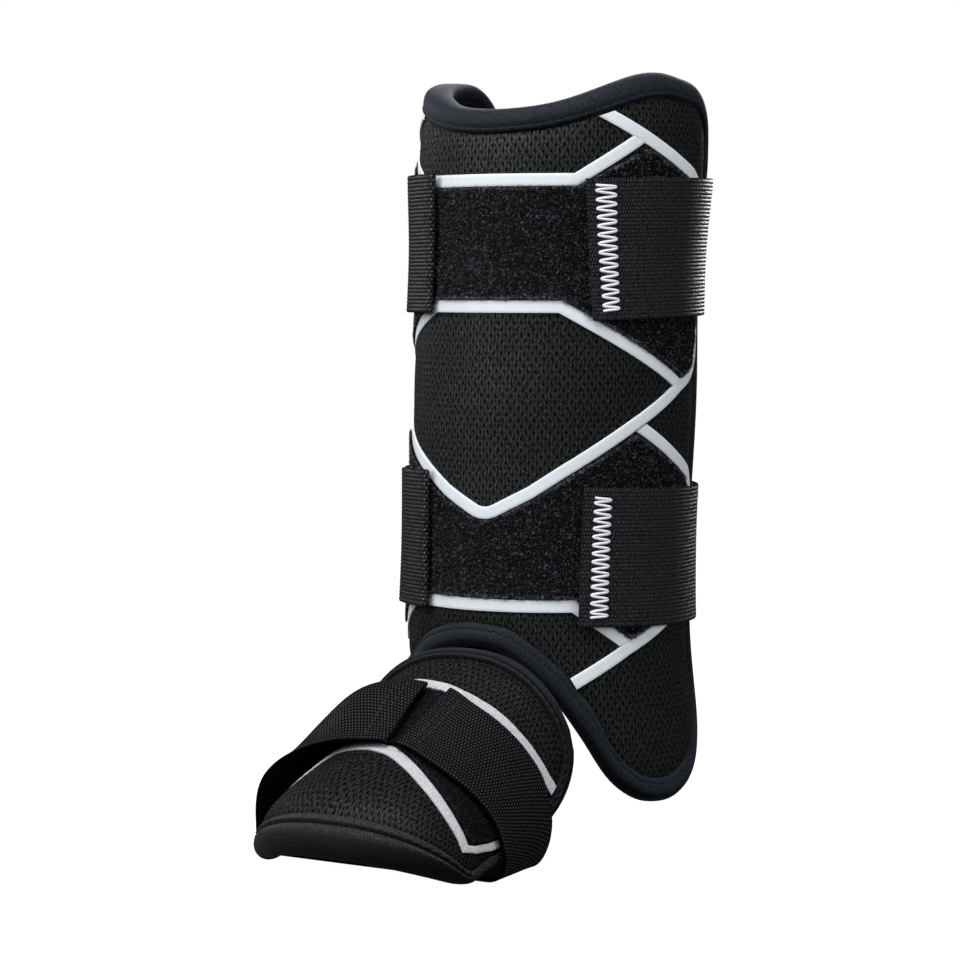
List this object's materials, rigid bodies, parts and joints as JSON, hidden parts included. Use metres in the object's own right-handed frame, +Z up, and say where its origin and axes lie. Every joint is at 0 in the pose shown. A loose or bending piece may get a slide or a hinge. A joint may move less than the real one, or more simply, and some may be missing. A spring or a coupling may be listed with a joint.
{
  "type": "batter_leg_guard",
  "caption": "black padded batter's leg guard with a mesh shin shell, ankle flap, instep guard, pile panels, white lines and elastic straps, shaped as worn",
  "frame": {"origin": "on the leg axis at the middle height of the shin shell, where the leg holds the guard", "axes": "+Z up the leg, -Y to the toes, +X to the outer side of the leg"},
  "size_m": [0.1161, 0.2038, 0.2744],
  "materials": {
    "mesh_cover": "matte knitted mesh over foam",
    "edge_binding": "matte knit-faced rolled edge",
    "loop_pile": "matte napped pile",
    "white_line": "satin film",
    "foot_line": "matte flocked film",
    "webbing": "ribbed elastic webbing"
  },
  "bodies": {
    "root": {"shin_shell": "mesh_cover", "shin_binding": "edge_binding", "loop_panel_upper": "loop_pile", "loop_panel_lower": "loop_pile", "trim_top": "white_line", "trim_side_upper_outer": "white_line", "trim_side_upper_inner": "white_line", "trim_shield": "white_line", "trim_bottom": "white_line", "trim_side_lower_outer": "white_line", "trim_side_lower_inner": "white_line", "strap_upper": "webbing", "strap_lower": "webbing", "foot_shell": "mesh_cover", "foot_binding": "edge_binding", "foot_loop_panel": "loop_pile", "foot_trim_rear": "foot_line", "foot_trim_front": "foot_line", "foot_strap": "webbing", "ankle_tongue": "edge_binding"}
  },
  "joints": []
}
